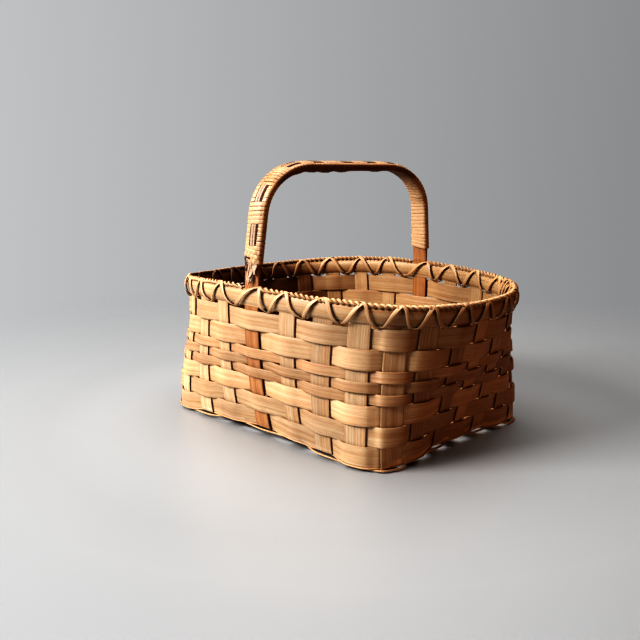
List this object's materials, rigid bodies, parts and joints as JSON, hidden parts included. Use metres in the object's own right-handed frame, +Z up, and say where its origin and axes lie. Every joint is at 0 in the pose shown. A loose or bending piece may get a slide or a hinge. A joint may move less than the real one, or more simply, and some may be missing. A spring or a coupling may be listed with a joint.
{
  "type": "splint basket",
  "caption": "Rectangular woven wood-splint basket with rounded corners, a cane-lashed rim and a fixed arched handle wrapped in cane.",
  "frame": {"origin": "centre of the footprint, at the level of the four corner crossings that the basket stands on", "axes": "+Z up; the handle spans X, from its leg in the middle of the -X side to its leg in the middle of the +X side; the basket's length runs along Y"},
  "size_m": [0.2628, 0.3552, 0.2555],
  "materials": {
    "stake_splint": "unvarnished ash splint with fine lengthwise grain, aged to honey tan",
    "wide_weaver": "unvarnished ash splint with fine lengthwise grain, slightly polished by handling",
    "narrow_weaver": "unvarnished ash splint, a little darker and pinker than the wide weavers",
    "rim_strip": "gently rounded strip, worn smooth",
    "filler_cord": "dry twisted two-ply cord",
    "rim_cane": "split cane with a satin skin",
    "handle_wood": "orange-brown hardwood, rubbed smooth",
    "handle_cane": "split cane with a satin skin, polished by hands",
    "overlay_cane": "dull greyish flat cane, dry and worn"
  },
  "bodies": {
    "root": {"cross_splint_1": "stake_splint", "cross_splint_2": "stake_splint", "cross_splint_3": "stake_splint", "cross_splint_4": "stake_splint", "cross_splint_5": "stake_splint", "cross_splint_6": "stake_splint", "long_splint_1": "stake_splint", "long_splint_2": "stake_splint", "long_splint_3": "stake_splint", "long_splint_4": "stake_splint", "long_splint_5": "stake_splint", "long_splint_6": "stake_splint", "long_splint_7": "stake_splint", "weaver_1": "wide_weaver", "weaver_2": "wide_weaver", "weaver_3": "narrow_weaver", "weaver_4": "narrow_weaver", "weaver_5": "narrow_weaver", "weaver_6": "wide_weaver", "weaver_7": "wide_weaver", "weaver_8": "wide_weaver", "outer_rim": "rim_strip", "inner_rim": "rim_strip", "rim_filler_front": "filler_cord", "rim_filler_back": "filler_cord", "rim_lashing_first": "rim_cane", "rim_lashing_return": "rim_cane", "handle_hoop": "handle_wood", "handle_wrap": "handle_cane", "handle_overlay": "overlay_cane"}
  },
  "joints": []
}
